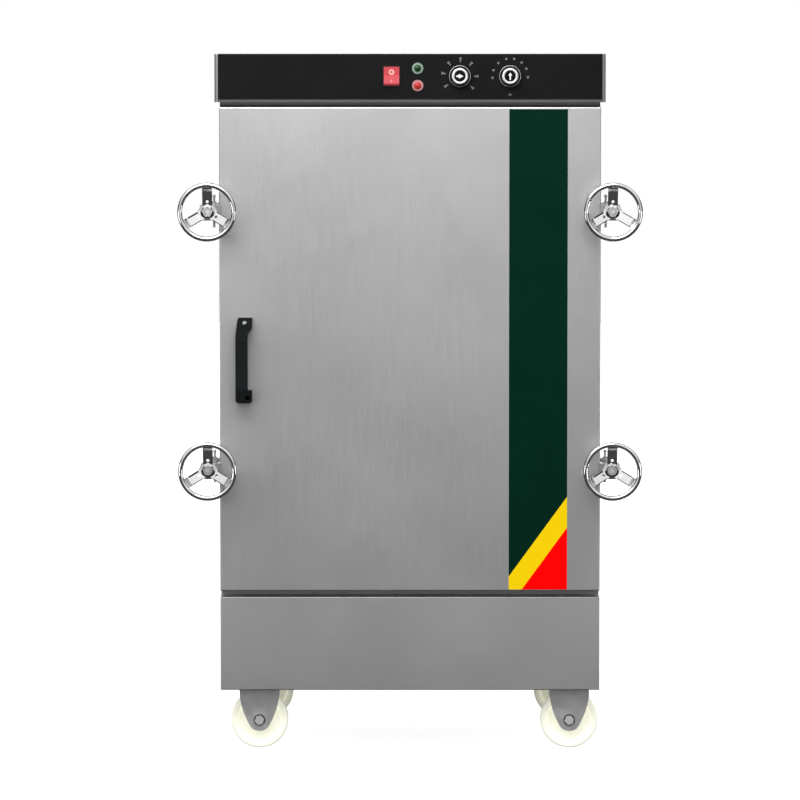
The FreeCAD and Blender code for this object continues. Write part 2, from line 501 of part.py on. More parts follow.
def handwheel(x, z):
    hub_y = WASH_Y - 3.3
    w = cyl_y(12.5, x, z, -291.0, hub_y)
    w = w.fuse(cyl_y(8.0, x, z, -300.0, -290.0))
    # hub plate: rounded triangle
    pl = None
    for a in (90, 210, 330):
        ca, sa = math.cos(math.radians(a)), math.sin(math.radians(a))
        tx, tz = -sa, ca
        for half0, half1, th in ((-8.8, 8.8, 2.2), (-8.8, -6.9, 6.5), (6.9, 8.8, 6.5)):
            prof = spoke_profile(th)
            if th > 3:
                prof = [(max(r, 9.0), y) for r, y in prof]
            pts3 = [(x + ca * r + tx * half0, y, z + sa * r + tz * half0) for r, y in prof]
            s = prism(pts3, (tx * (half1 - half0), 0, tz * (half1 - half0)))
            w = w.fuse(s)
    def tri(rad, y):
        pts = []
        for a in (90, 210, 330):
            for da in (-34, 34):
                t = math.radians(a + da)
                pts.append(V(x + rad * math.cos(t), y, z + rad * math.sin(t)))
        return Part.makePolygon(pts + [pts[0]])
    w = w.fuse(Part.Face(tri(17.5, -291.0)).extrude(V(0, 2.2, 0)))
    w = w.fuse(Part.makeLoft([tri(17.5, -291.0), tri(9.4, -297.6)], True, True))
    w = w.fuse(Part.makeTorus(WHEEL_R - RIM_R, RIM_R, V(x, RIM_Y, z), V(0, 1, 0)))
    w = cut(w, cyl_y(ROD_R + RUN, x, z, -310, -270))
    for a in (90, 210, 330):
        t = math.radians(a)
        w = cut(w, cyl_y(2.6, x + 18.0 * math.cos(t), z + 18.0 * math.sin(t), -300, -285.5))
    return w.removeSplitter()


wheel_u = handwheel(BOLT_X, CLAMP_Z[0])
wheel_l = moved(wheel_u, z=CLAMP_Z[1] - CLAMP_Z[0])
for name, w, wz, s in (("right_upper", wheel_u, CLAMP_Z[0], 1), ("right_lower", wheel_l, CLAMP_Z[1], 1),
                       ("left_upper", wheel_u, CLAMP_Z[0], -1), ("left_lower", wheel_l, CLAMP_Z[1], -1)):
    put(name + "_handwheel", w if s > 0 else moved(w, x=-2 * BOLT_X))
    put(name + "_washer", washer(s * BOLT_X, wz))

# ---------------------------------------------------------------- casters
AX_Z = CASTER_R
LEG_Y0, LEG_Y1 = 19.4, 22.4


def leg_outline(x, z, flat):
    # leg of the fork: rounded end about the axle, flared sides, straight top
    pts = []
    for i in range(0, 13):
        a = math.radians(200 + (340 - 200) * i / 12.0)
        pts.append((x + 20.5 * math.cos(a), z + 20.5 * math.sin(a)))
    pts += [(x + 26.5, z + 8), (x + 32.5, z + 26), (x + 35.5, z + 42), (x + 35.5, flat), (x - 35.5, flat), (x - 35.5, z + 42), (x - 32.5, z + 26), (x - 26.5, z + 8)]
    return pts


def caster_wheel(x, y):
    hw, r = 16.0, CASTER_R
    prof = [(6.0 + RUN, -18.8), (12.5, -18.8), (12.5, -11.0), (17.0, -9.0), (37.5, -9.0), (41.0, -14.8), (44.5, -hw), (r - 3.0, -hw), (r - 0.9, -hw + 1.4), (r, -hw + 4.5)]
    prof += [(a, -b) for a, b in reversed(prof)]
    p = [V(x + a, y + b, AX_Z) for a, b in prof]
    f = Part.Face(Part.makePolygon(p + [p[0]]))
    return f.revolve(V(x, y, AX_Z), V(0, 1, 0), 360)


def axle(x, y):
    s = fuse(cyl_y(6.0, x, AX_Z, y - LEG_Y1, y + LEG_Y1),
             cyl_y(10.5, x, AX_Z, y - LEG_Y1 - 1.6, y - LEG_Y1),
             hexagon(15.0, x, y - LEG_Y1 - 7.2, y - LEG_Y1 - 1.6, AX_Z, 12),
             cyl_y(10.5, x, AX_Z, y + LEG_Y1, y + LEG_Y1 + 1.6),
             hexagon(17.0, x, y + LEG_Y1 + 1.6, y + LEG_Y1 + 9.0, AX_Z, 20))
    return s


frames = []
for name, cx in (("left", CASTER_XL), ("right", CASTER_XR)):
    cy = -CASTER_Y
    pts = leg_outline(cx, AX_Z, 126.0)
    fork = box(cx - 35.5, cx + 35.5, cy - LEG_Y1, cy + LEG_Y1, 122.5, 126.0)
    for y0, y1 in ((-LEG_Y1, -LEG_Y0), (LEG_Y0, LEG_Y1)):
        fork = fork.fuse(prism([(px, cy + y0, pz) for px, pz in pts], (0, y1 - y0, 0)))
    fork = fork.fuse(box(cx - 47, cx + 47, cy - 38, cy + 38, 126.0, 130.0)).removeSplitter()
    fork = cut(fork, cyl_y(6.0, cx, AX_Z, cy - 30, cy + 30))
    frames += [fork, axle(cx, cy)]
    put("front_%s_caster_wheel" % name, caster_wheel(cx, cy))

for name, cx, king in (("left", CASTER_XL, CASTER_XL + CASTER_TRAIL), ("right", CASTER_XR, CASTER_XR - CASTER_TRAIL)):
    cy = CASTER_Y
    plate = fuse(box(king - 42, king + 42, cy - 38, cy + 38, 126.0, 130.0), cyl_z(24.0, king, cy, 121.0, 126.5))
    kingpin = cyl_z(6.0, king, cy, 108.0, 126.0)
    nutk = cyl_z(9.0, king, cy, 107.5, 111.0)
    frames.append(fuse(plate, kingpin, nutk))
    web_z0, web_z1 = 112.0, 115.0
    fork = fuse(cyl_z(29.0, king, cy, web_z1, 120.6), cyl_z(29.0, king, cy, web_z0, web_z1),
                box(min(king, cx) - 24, max(king, cx) + 24, cy - LEG_Y1, cy + LEG_Y1, web_z0, web_z1))
    fork = cut(fork, cyl_z(6.0 + RUN, king, cy, 100, 130))
    pts = []
    for i in range(0, 13):
        a = math.radians(200 + 140 * i / 12.0)
        pts.append((cx + 18.0 * math.cos(a), AX_Z + 18.0 * math.sin(a)))
    d = 1 if king > cx else -1
    pts += [(cx + 24 if d > 0 else cx + 20, AX_Z + 12), (max(king, cx) + 24, web_z0 - 6), (max(king, cx) + 24, web_z1), (min(king, cx) - 24, web_z1), (min(king, cx) - 24, web_z0 - 6), (cx - 20 if d > 0 else cx - 24, AX_Z + 12)]
    for y0, y1 in ((-LEG_Y1, -LEG_Y0), (LEG_Y0, LEG_Y1)):
        fork = fork.fuse(prism([(px, cy + y0, pz) for px, pz in pts], (0, y1 - y0, 0)))
    fork = fork.removeSplitter()
    fork = cut(fork, cyl_y(6.0, cx, AX_Z, cy - 30, cy + 30))
    put("rear_%s_caster_fork" % name, fork, axle(cx, cy))
    put("rear_%s_caster_wheel" % name, caster_wheel(cx, cy))
put("caster_frames", *frames)

# ---------------------------------------------------------------- report to the console
lo = V(1e9, 1e9, 1e9)
hi = V(-1e9, -1e9, -1e9)
for n, ss in nodes.items():
    for s in ss:
        bb = s.BoundBox
        lo = V(min(lo.x, bb.XMin), min(lo.y, bb.YMin), min(lo.z, bb.ZMin))
        hi = V(max(hi.x, bb.XMax), max(hi.y, bb.YMax), max(hi.z, bb.ZMax))
print(len(nodes), "nodes", sum(len(s) for s in nodes.values()), "solids")
print("box", tuple(round(q, 2) for q in (lo.x, lo.y, lo.z, hi.x, hi.y, hi.z)))
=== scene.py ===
import bpy
import bmesh
import math
from mathutils import Matrix, Vector


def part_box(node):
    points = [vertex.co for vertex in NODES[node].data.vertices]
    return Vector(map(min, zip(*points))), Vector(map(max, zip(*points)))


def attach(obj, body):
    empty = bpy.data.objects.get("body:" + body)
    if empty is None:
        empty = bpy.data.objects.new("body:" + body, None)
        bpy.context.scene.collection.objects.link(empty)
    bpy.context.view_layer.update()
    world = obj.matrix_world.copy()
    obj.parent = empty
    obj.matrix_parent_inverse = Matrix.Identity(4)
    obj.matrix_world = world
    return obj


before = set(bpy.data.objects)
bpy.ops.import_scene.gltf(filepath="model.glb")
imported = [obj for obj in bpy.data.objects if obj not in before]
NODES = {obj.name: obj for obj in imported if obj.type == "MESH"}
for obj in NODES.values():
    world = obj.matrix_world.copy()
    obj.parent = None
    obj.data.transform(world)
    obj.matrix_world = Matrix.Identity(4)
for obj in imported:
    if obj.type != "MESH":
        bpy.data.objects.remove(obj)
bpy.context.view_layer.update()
scene = bpy.context.scene


# ------------------------------------------------------------------ material helpers
def new_material(name):
    m = bpy.data.materials.new(name)
    m.use_nodes = True
    t = m.node_tree
    t.nodes.clear()
    out = t.nodes.new("ShaderNodeOutputMaterial")
    b = t.nodes.new("ShaderNodeBsdfPrincipled")
    t.links.new(b.outputs[0], out.inputs[0])
    return m, t, b


def coords(t, scale=(1, 1, 1), rot=(0, 0, 0)):
    tc = t.nodes.new("ShaderNodeTexCoord")
    mp = t.nodes.new("ShaderNodeMapping")
    mp.inputs["Scale"].default_value = scale
    mp.inputs["Rotation"].default_value = rot
    t.links.new(tc.outputs["Object"], mp.inputs["Vector"])
    return mp.outputs["Vector"]


def axis_value(t, axis):
    tc = t.nodes.new("ShaderNodeTexCoord")
    sx = t.nodes.new("ShaderNodeSeparateXYZ")
    t.links.new(tc.outputs["Object"], sx.inputs[0])
    return sx.outputs[axis]


def noise(t, vec, scale, detail=2.0, rough=0.5, distortion=0.0):
    n = t.nodes.new("ShaderNodeTexNoise")
    n.inputs["Scale"].default_value = scale
    n.inputs["Detail"].default_value = detail
    n.inputs["Roughness"].default_value = rough
    n.inputs["Distortion"].default_value = distortion
    t.links.new(vec, n.inputs["Vector"])
    return n.outputs["Fac"]


def span(t, value, a, b, lo, hi, smooth=False):
    n = t.nodes.new("ShaderNodeMapRange")
    if smooth:
        n.interpolation_type = "SMOOTHSTEP"
    n.inputs["From Min"].default_value = a
    n.inputs["From Max"].default_value = b
    n.inputs["To Min"].default_value = lo
    n.inputs["To Max"].default_value = hi
    t.links.new(value, n.inputs["Value"])
    return n.outputs["Result"]


def math2(t, op, a, b):
    n = t.nodes.new("ShaderNodeMath")
    n.operation = op
    for i, v in enumerate((a, b)):
        if isinstance(v, (int, float)):
            n.inputs[i].default_value = v
        else:
            t.links.new(v, n.inputs[i])
    return n.outputs[0]


def mix(t, fac, c1, c2):
    n = t.nodes.new("ShaderNodeMix")
    n.data_type = "RGBA"
    if isinstance(fac, (int, float)):
        n.inputs["Factor"].default_value = fac
    else:
        t.links.new(fac, n.inputs["Factor"])
    for key, c in (("A", c1), ("B", c2)):
        s = [i for i in n.inputs if i.name == key and i.type == "RGBA"][0]
        if isinstance(c, (tuple, list)):
            s.default_value = (*c, 1) if len(c) == 3 else c
        else:
            t.links.new(c, s)
    return [o for o in n.outputs if o.type == "RGBA"][0]


def bump(t, b, height, strength, distance):
    n = t.nodes.new("ShaderNodeBump")
    n.inputs["Strength"].default_value = strength
    n.inputs["Distance"].default_value = distance
    t.links.new(height, n.inputs["Height"])
    t.links.new(n.outputs["Normal"], b.inputs["Normal"])
    return n


AXIS_SCALE = {"x": (1, 90, 90), "y": (90, 1, 90), "z": (90, 90, 1)}


def brushed(name, tone=0.62, tint=(1.0, 1.0, 1.0), rough=0.42, axis="z", streak=0.05, cloud=0.03, grain=26.0, depth=0.00006, metallic=1.0, shade=None):
    """Ground stainless sheet: long fine streaks along one axis, faint clouding.
    shade = (axis, from, to, factor at from, factor at to) darkens the tone along the sheet."""
    m, t, b = new_material(name)
    v = coords(t, AXIS_SCALE[axis])
    fine = noise(t, v, grain, 3.0, 0.6)
    v2 = coords(t, tuple(0.35 * s if s > 1 else 0.6 for s in AXIS_SCALE[axis]))
    broad = noise(t, v2, 9.0, 2.0, 0.5)
    v3 = coords(t)
    haze = noise(t, v3, 4.5, 3.0, 0.55)
    speck = noise(t, v3, 420.0, 2.0, 0.7)
    val = math2(t, "ADD", span(t, fine, 0.3, 0.7, -streak, streak), span(t, broad, 0.3, 0.7, -streak * 0.6, streak * 0.6))
    val = math2(t, "ADD", val, span(t, haze, 0.3, 0.7, -cloud, cloud))
    val = math2(t, "ADD", val, span(t, speck, 0.35, 0.65, -0.012, 0.012))
    val = math2(t, "ADD", val, 0.5)
    lo = [max(0.0, (tone - 0.25) * c) for c in tint]
    hi = [min(1.0, (tone + 0.25) * c) for c in tint]
    col = mix(t, val, lo, hi)
    # shade: darker colour along one axis, painted shade
    if shade:
        ax, a0, a1, f0, f1 = shade
        f = span(t, axis_value(t, ax), a0, a1, f0, f1, smooth=True)
        dark = mix(t, val, [c * 0.25 for c in lo], [c * 0.25 for c in hi])
        col = mix(t, f, dark, col)
    t.links.new(col, b.inputs["Base Color"])
    b.inputs["Metallic"].default_value = metallic
    r = math2(t, "ADD", span(t, fine, 0.3, 0.7, rough - 0.05, rough + 0.05), span(t, haze, 0.3, 0.7, -0.03, 0.03))
    t.links.new(r, b.inputs["Roughness"])
    bump(t, b, fine, 0.35, depth)
    return m


def plated(name, base, rough=0.3, cloud=0.05, scale=60.0, metallic=1.0, depth=0.00005, grime=0.0, shade=None):
    """Plated or polished metal with slight clouding and handling marks."""
    m, t, b = new_material(name)
    v = coords(t)
    n1 = noise(t, v, scale, 4.0, 0.6)
    n2 = noise(t, v, scale * 7, 2.0, 0.6)
    f = math2(t, "ADD", span(t, n1, 0.3, 0.7, 0, 0.8), span(t, n2, 0.3, 0.7, 0, 0.2))
    dark = [c * (1 - 2 * cloud) for c in base]
    light = [min(1, c * (1 + cloud)) for c in base]
    col = mix(t, f, dark, light)
    if grime:
        g = noise(t, v, scale * 0.4, 5.0, 0.65)
        col = mix(t, span(t, g, 0.5, 0.75, 0, grime), col, [c * 0.45 for c in base])
    # shade: darker colour along one axis, painted shade
    if shade:
        ax, a0, a1, f0, f1 = shade
        fs = span(t, axis_value(t, ax), a0, a1, f0, f1, smooth=True)
        col = mix(t, fs, [c * 0.15 for c in base], col)
    t.links.new(col, b.inputs["Base Color"])
    b.inputs["Metallic"].default_value = metallic
    t.links.new(span(t, f, 0, 1, rough * 0.8, rough * 1.25), b.inputs["Roughness"])
    bump(t, b, n2, 0.25, depth)
    return m


def plastic(name, base, rough=0.45, grain=900.0, depth=0.00005, vary=0.12, coat=0.0, subsurface=0.0, strength=0.4, specular=0.5, glow=0.0, metallic=0.0):
    m, t, b = new_material(name)
    v = coords(t)
    n1 = noise(t, v, 12.0, 4.0, 0.6)
    n2 = noise(t, v, grain, 2.0, 0.6)
    col = mix(t, span(t, n1, 0.3, 0.7, 0, 1), [c * (1 - vary) for c in base], [min(1, c * (1 + vary)) for c in base])
    t.links.new(col, b.inputs["Base Color"])
    t.links.new(span(t, n1, 0.3, 0.7, rough - 0.04, rough + 0.05), b.inputs["Roughness"])
    b.inputs["Specular IOR Level"].default_value = specular
    b.inputs["Metallic"].default_value = metallic
    if coat:
        b.inputs["Coat Weight"].default_value = coat
        b.inputs["Coat Roughness"].default_value = 0.08
    if glow:
        t.links.new(col, b.inputs["Emission Color"])
        b.inputs["Emission Strength"].default_value = glow
    if subsurface:
        b.inputs["Subsurface Weight"].default_value = subsurface
        b.inputs["Subsurface Radius"].default_value = (0.004, 0.003, 0.002)
        b.inputs["Subsurface Scale"].default_value = 1.0
    bump(t, b, n2, strength, depth)
    return m


def fibrous(name, base):
    m, t, b = new_material(name)
    v = coords(t, (1, 1, 4))
    n1 = noise(t, v, 35.0, 6.0, 0.75, 1.5)
    n2 = noise(t, v, 300.0, 4.0, 0.8, 3.0)
    f = math2(t, "ADD", span(t, n1, 0.3, 0.7, 0, 0.6), span(t, n2, 0.3, 0.7, 0, 0.4))
    t.links.new(mix(t, f, [c * 0.55 for c in base], base), b.inputs["Base Color"])
    b.inputs["Roughness"].default_value = 0.95
    b.inputs["Sheen Weight"].default_value = 0.3
    bump(t, b, f, 0.9, 0.002)
    return m


MAT = {
    # door: brushed stainless, darker towards the bottom as painted shade
    "door": brushed("door_sheet_painted_shade", tone=0.65, rough=0.46, axis="z", streak=0.011, cloud=0.009, shade=("Z", 0.42, 0.60, 0.94, 1.0)),
    "panel": brushed("cabinet_sheet", tone=0.58, rough=0.44, axis="z", streak=0.03, cloud=0.02, metallic=0.55),
    # front frame: darker copy of the cabinet sheet, painted shade in the gaps round the door
    "frame": brushed("frame_sheet_painted_shade", tone=0.36, rough=0.46, axis="x", streak=0.03, cloud=0.02),
    # lower front panel: brushed stainless, darker towards the bottom as painted shade
    "base": brushed("base_sheet_painted_shade", tone=0.67, rough=0.46, axis="x", streak=0.013, cloud=0.010, shade=("Z", 0.105, 0.29, 0.88, 1.0)),
    # folds: brighter copies of the sheet as painted highlights on the door, a darker copy as painted shade on the lower
    # panel
    "edge": brushed("fold_painted_highlight_sheet", tone=0.74, rough=0.34, axis="x", streak=0.03, cloud=0.02),
    "low_edge": brushed("low_fold_painted_highlight_sheet", tone=0.60, rough=0.40, axis="x", streak=0.03, cloud=0.02),
    "base_edge": brushed("base_fold_painted_shade_sheet", tone=0.24, rough=0.40, axis="x", streak=0.03, cloud=0.02),
    "inner": brushed("liner_sheet", tone=0.64, rough=0.30, axis="x", streak=0.05, cloud=0.03),
    "tray": brushed("tray_sheet", tone=0.68, rough=0.24, axis="x", streak=0.04, cloud=0.04),
    "hood": brushed("hood_sheet", tone=0.46, rough=0.44, axis="x", streak=0.04, cloud=0.02, metallic=0.55),
    # control box top and end ribs carry painted shade
    "hood_top": brushed("hood_top_painted_shade_sheet", tone=0.27, rough=0.62, axis="x", streak=0.02, cloud=0.015, metallic=0.20),
    "hood_rib": brushed("hood_rib_painted_shade_line_sheet", tone=0.46, rough=0.36, axis="z", streak=0.03, cloud=0.02, shade=("X", -0.3452, -0.3440, 0.45, 1.0)),
    "hood_rib_dim": brushed("hood_rib_painted_shade_sheet", tone=0.30, rough=0.40, axis="z", streak=0.03, cloud=0.02, shade=("X", 0.3425, 0.3435, 0.5, 1.0)),
    "hood_lip": brushed("hood_lip_sheet", tone=0.17, rough=0.40, axis="x", streak=0.03, cloud=0.02),
    # top deck below the control box: darker sheet with a dark band at its bottom, painted shade under the box
    "neck": brushed("neck_painted_shade_sheet", tone=0.25, rough=0.50, axis="x", streak=0.03, cloud=0.02, shade=("Z", 1.1572, 1.1588, 0.0, 1.0)),
    "chrome": plated("polished_chrome", (0.90, 0.90, 0.91), rough=0.09, cloud=0.02, depth=0.00001),
    "bright": plated("turned_steel", (0.92, 0.92, 0.92), rough=0.42, cloud=0.04, depth=0.00002),
    "zinc": plated("zinc_plate", (0.45, 0.45, 0.45), rough=0.34, cloud=0.07),
    "dark_zinc": plated("dark_washer", (0.15, 0.15, 0.155), rough=0.50, cloud=0.08),
    "bracket": plated("bracket_steel", (0.60, 0.60, 0.60), rough=0.34, cloud=0.06, grime=0.25),
    # caster forks: darker towards the top as painted shade under the body; the grime noise is dirt
    "fork": plated("fork_zinc_painted_shade", (0.95, 0.95, 0.95), rough=0.42, cloud=0.05, grime=0.05, shade=("Z", 0.040, 0.115, 1.0, 0.80)),
    "nut": plated("nut_zinc", (0.62, 0.62, 0.62), rough=0.40, cloud=0.04, metallic=0.15),
    "brass": plated("brass", (0.72, 0.54, 0.26), rough=0.26, cloud=0.08),
    "element": plated("element_sheath", (0.42, 0.38, 0.34), rough=0.40, cloud=0.15),
    "black_panel": plastic("black_fascia", (0.0080, 0.0080, 0.0085), rough=0.42, grain=700.0, depth=0.00002, specular=0.08),
    "dial_disc": plastic("dial_black", (0.0085, 0.0085, 0.0088), rough=0.5, grain=900.0, depth=0.00002, specular=0.08),
    "black": plastic("black_plastic", (0.0085, 0.0105, 0.0115), rough=0.42, grain=1400.0, depth=0.00005, strength=0.6, specular=0.16),
    "black_slope": plastic("handle_slope_painted_shade_plastic", (0.0050, 0.0062, 0.0068), rough=0.55, grain=1400.0, depth=0.00005, strength=0.6, specular=0.05),
    "screw": plastic("screw_head_painted_highlight", (0.80, 0.80, 0.80), rough=0.40, grain=900.0, depth=0.00001, metallic=0.2, glow=0.35),
    "hub_flank": plated("hub_flank_painted_shade_chrome", (0.17, 0.17, 0.172), rough=0.16, cloud=0.03, depth=0.00001),
    "rim_side": plated("rim_side_painted_shade_chrome", (0.24, 0.24, 0.243), rough=0.12, cloud=0.03, depth=0.00001),
    "spoke_edge": plated("spoke_edge_shade", (0.035, 0.035, 0.036), rough=0.35, cloud=0.05, depth=0.00001),
    "knob_black": plastic("knob_black", (0.004, 0.004, 0.0045), rough=0.40, grain=900.0, depth=0.00002, specular=0.12),
    "dial_mark": plastic("dial_print", (0.155, 0.155, 0.155), rough=0.6, grain=500.0, depth=0.00001, specular=0.1),
    # white print of the knob arrows, made to glow: painted light
    "pointer": plastic("pointer_white_painted_light", (0.88, 0.88, 0.87), rough=0.5, grain=500.0, depth=0.00001, glow=0.35),
    "dial_ring": plated("knob_skirt_ring", (0.62, 0.62, 0.62), rough=0.45, cloud=0.03, depth=0.00001),
    "knob_ring": plated("knob_bezel", (0.95, 0.95, 0.95), rough=0.50, cloud=0.02, depth=0.00001),
    "knob_flank": plastic("knob_flank_black", (0.030, 0.030, 0.032), rough=0.35, grain=900.0, depth=0.00002, specular=0.5),
    # rocker switch glows to even out its shading: painted light
    "red": plastic("red_rocker_painted_light", (0.29, 0.034, 0.040), rough=0.50, grain=300.0, depth=0.00001, coat=0.05, specular=0.15, glow=1.0),
    # rocker print, made to glow: painted light
    "rocker_mark": plastic("rocker_print_painted_light", (0.90, 0.36, 0.35), rough=0.5, grain=500.0, depth=0.00001, glow=0.25),
    "rocker_line": plastic("rocker_line_print_painted_light", (0.74, 0.20, 0.20), rough=0.5, grain=500.0, depth=0.00001, glow=0.10),
    "lever": plastic("red_lever", (0.55, 0.03, 0.02), rough=0.35, grain=500.0),
    "green_lens": plastic("green_lens", (0.004, 0.042, 0.007), rough=0.25, grain=300.0, depth=0.00001, coat=0.15, specular=0.25),
    "red_lens": plastic("red_lens", (0.42, 0.020, 0.016), rough=0.25, grain=300.0, depth=0.00001, coat=0.15, specular=0.25, glow=0.08),
    "green_ring": plated("green_pilot_ring", (0.34, 0.47, 0.38), rough=0.40, cloud=0.04),
    "red_ring": plated("red_pilot_ring", (0.68, 0.33, 0.34), rough=0.40, cloud=0.04),
    # front caster wheels: ivory nylon with a glow as painted light
    "nylon": plastic("ivory_nylon_painted_light", (0.93, 0.935, 0.80), rough=0.42, grain=260.0, depth=0.00006, vary=0.03, subsurface=0.25, glow=0.44),
    # rear caster wheels: darker copy of the nylon as painted shade, with a glow as painted light
    "nylon_rear": plastic("ivory_nylon_painted_shade_and_light", (0.84, 0.835, 0.68), rough=0.45, grain=260.0, depth=0.00006, vary=0.05, glow=0.36),
    "gasket": plastic("silicone", (0.62, 0.61, 0.57), rough=0.6, grain=600.0, depth=0.00008),
    "wool": fibrous("mineral_wool", (0.62, 0.56, 0.34)),
    "grey": plastic("grey_plastic", (0.30, 0.31, 0.33), rough=0.5),
    "white": plastic("white_plastic", (0.76, 0.76, 0.73), rough=0.4, vary=0.04),
    "chassis": plated("chassis_paint", (0.20, 0.205, 0.21), rough=0.5, cloud=0.08, metallic=0.0),
    "stripe_green": plastic("stripe_green", (0.0008, 0.0225, 0.0125), rough=0.5, grain=800.0, depth=0.00001, vary=0.06, specular=0.04),
    # yellow and red stripe print, made to glow: painted light
    "stripe_yellow_painted_light": plastic("stripe_yellow_painted_light", (0.90, 0.62, 0.003), rough=0.5, grain=800.0, depth=0.00001, vary=0.02, specular=0.02, glow=0.18),
    "stripe_red_painted_light": plastic("stripe_red_painted_light", (0.93, 0.001, 0.001), rough=0.5, grain=800.0, depth=0.00001, vary=0.02, specular=0.02, glow=0.30),
}

NODE_MATERIAL = {
    "outer_casing": "panel", "front_frame": "frame", "top_deck": "neck", "base_front_panel": "base",
    "control_housing": "hood", "door_skin": "door", "chassis": "chassis",
    "chamber_liner": "inner", "tray_rack": "inner", "door_inner_panel": "inner", "steam_vent": "inner",
    "heating_elements": "element", "inlet_valve": "brass", "drain_valve": "brass",
    "cable_gland": "black", "fascia_panel": "black_panel", "rocker_bezel": "black", "rocker_button": "red",
    "green_pilot_light": "green_lens", "red_pilot_light": "red_lens",
    "thermostat_knob": "knob_black", "timer_knob": "knob_black", "thermostat": "grey", "timer": "white", "contactor": "grey",
    "clamp_brackets": "bracket", "clamp_fasteners": "zinc", "door_lugs": "bracket", "right_swing_arms": "bracket",
    "left_upper_swing_arm": "bracket", "left_lower_swing_arm": "bracket",
    "caster_frames": "fork", "rear_left_caster_fork": "fork", "rear_right_caster_fork": "fork",
    "pull_handle": "black", "door_gasket": "gasket", "door_insulation": "wool", "insulation": "wool",
    "drain_lever": "lever", "float_arm": "white",
}
for side in ("left", "right"):
    for level in ("upper", "lower"):
        NODE_MATERIAL[f"{side}_{level}_handwheel"] = "chrome"
        NODE_MATERIAL[f"{side}_{level}_washer"] = "zinc"
    NODE_MATERIAL[f"front_{side}_caster_wheel"] = "nylon"
    NODE_MATERIAL[f"rear_{side}_caster_wheel"] = "nylon_rear"
for k in range(1, 9):
    NODE_MATERIAL[f"tray_{k}"] = "tray"

for name, key in NODE_MATERIAL.items():
    o = NODES[name]
    o.data.materials.clear()
    o.data.materials.append(MAT[key])


def paint(node, key, test):
    """Second finish on the faces of a node that the test picks (centre, normal)."""
    me = NODES[node].data
    me.materials.append(MAT[key])
    i = len(me.materials) - 1
    n = 0
    for p in me.polygons:
        if test(p.center, p.normal):
            p.material_index = i
            n += 1
    return n


# painted highlights on the top and bottom folds of the door, painted shade on the top fold of the lower panel
paint("door_skin", "edge", lambda c, n: c.y < -0.2695 and n.z > 0.15)
paint("door_skin", "low_edge", lambda c, n: c.y < -0.2695 and n.z < -0.15)
paint("base_front_panel", "base_edge", lambda c, n: c.y < -0.2670 and n.z > 0.15)
# control box: top sheet darker as painted shade; satin ribs at both ends with painted shade, a dark line along the
# outer side of the left rib and the right rib darker overall and along its inner side; dark lip under the panel
paint("control_housing", "hood_top", lambda c, n: c.z > 1.2465 and n.z > 0.9)
paint("control_housing", "hood_rib", lambda c, n: c.y < -0.2735 and c.x < -0.3412)
paint("control_housing", "hood_rib_dim", lambda c, n: c.y < -0.2735 and c.x > 0.3412)
paint("control_housing", "hood_lip", lambda c, n: c.y < -0.2735 and abs(c.x) < 0.3412)
# pilot lights: bezel round the lens
for node, ring, z in (("green_pilot_light", "green_ring", 1.222), ("red_pilot_light", "red_ring", 1.1915)):
    paint(node, ring, lambda c, n, z=z: c.y < -0.279 and math.hypot(c.x - 0.0134, c.z - z) > 0.00601)


def near_axle(c, r, y0, y1):
    return any(abs(c.y - 0) >= 0 and math.hypot(c.x - x, c.z - 0.0515) < r for x in (-0.271, 0.287)) and y0 < c.y < y1


paint("caster_frames", "dark_zinc", lambda c, n: near_axle(c, 0.0108, -0.23905, -0.23765))
paint("caster_frames", "nut", lambda c, n: near_axle(c, 0.0092, -0.2450, -0.2391))
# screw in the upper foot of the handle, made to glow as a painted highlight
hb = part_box("pull_handle")
# upward faces of the handle get a darker copy of the plastic: painted shade
paint("pull_handle", "black_slope", lambda c, n: n.z > 0.08 and n.y < -0.3)
# the screw head glows: painted highlight
paint("pull_handle", "screw", lambda c, n: math.hypot(c.x + 0.295, c.z - (hb[1].z - 0.0085)) < 0.0026 and c.y > -0.2835 and n.y < -0.5)
# turned faces in the middle of each handwheel
WHEELS = {}
for side in ("left", "right"):
    for level in ("upper", "lower"):
        node = f"{side}_{level}_handwheel"
        lo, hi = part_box(node)
        cx, cz = (lo.x + hi.x) / 2, (lo.z + hi.z) / 2
        WHEELS[node] = (cx, cz)
        paint(node, "bright", lambda c, n, cx=cx, cz=cz: n.y < -0.9 and math.hypot(c.x - cx, c.z - cz) < 0.0085 and c.y < -0.2985)
        # hub flank and the upward faces just above the hub get dark chrome: painted shade in place of the sky's
        # reflection
        paint(node, "hub_flank", lambda c, n, cx=cx, cz=cz: n.y > -0.9 and math.hypot(c.x - cx, c.z - cz) < 0.0102 and c.y < -0.2942)
        paint(node, "hub_flank", lambda c, n, cx=cx, cz=cz: abs(c.x - cx) < 0.0092 and 0.0075 < c.z - cz < 0.0165 and n.z > 0.35 and n.y > -0.95 and c.y < -0.2905)
        # inner and outer sides of the rim get dark chrome: painted shade as dark outlines round the rim
        paint(node, "rim_side", lambda c, n, cx=cx, cz=cz: math.hypot(c.x - cx, c.z - cz) > 0.0405 and -0.62 < n.y < 0.05)
for node in ("right_swing_arms", "left_upper_swing_arm", "left_lower_swing_arm"):
    paint(node, "bright", lambda c, n: c.y < -0.2985)


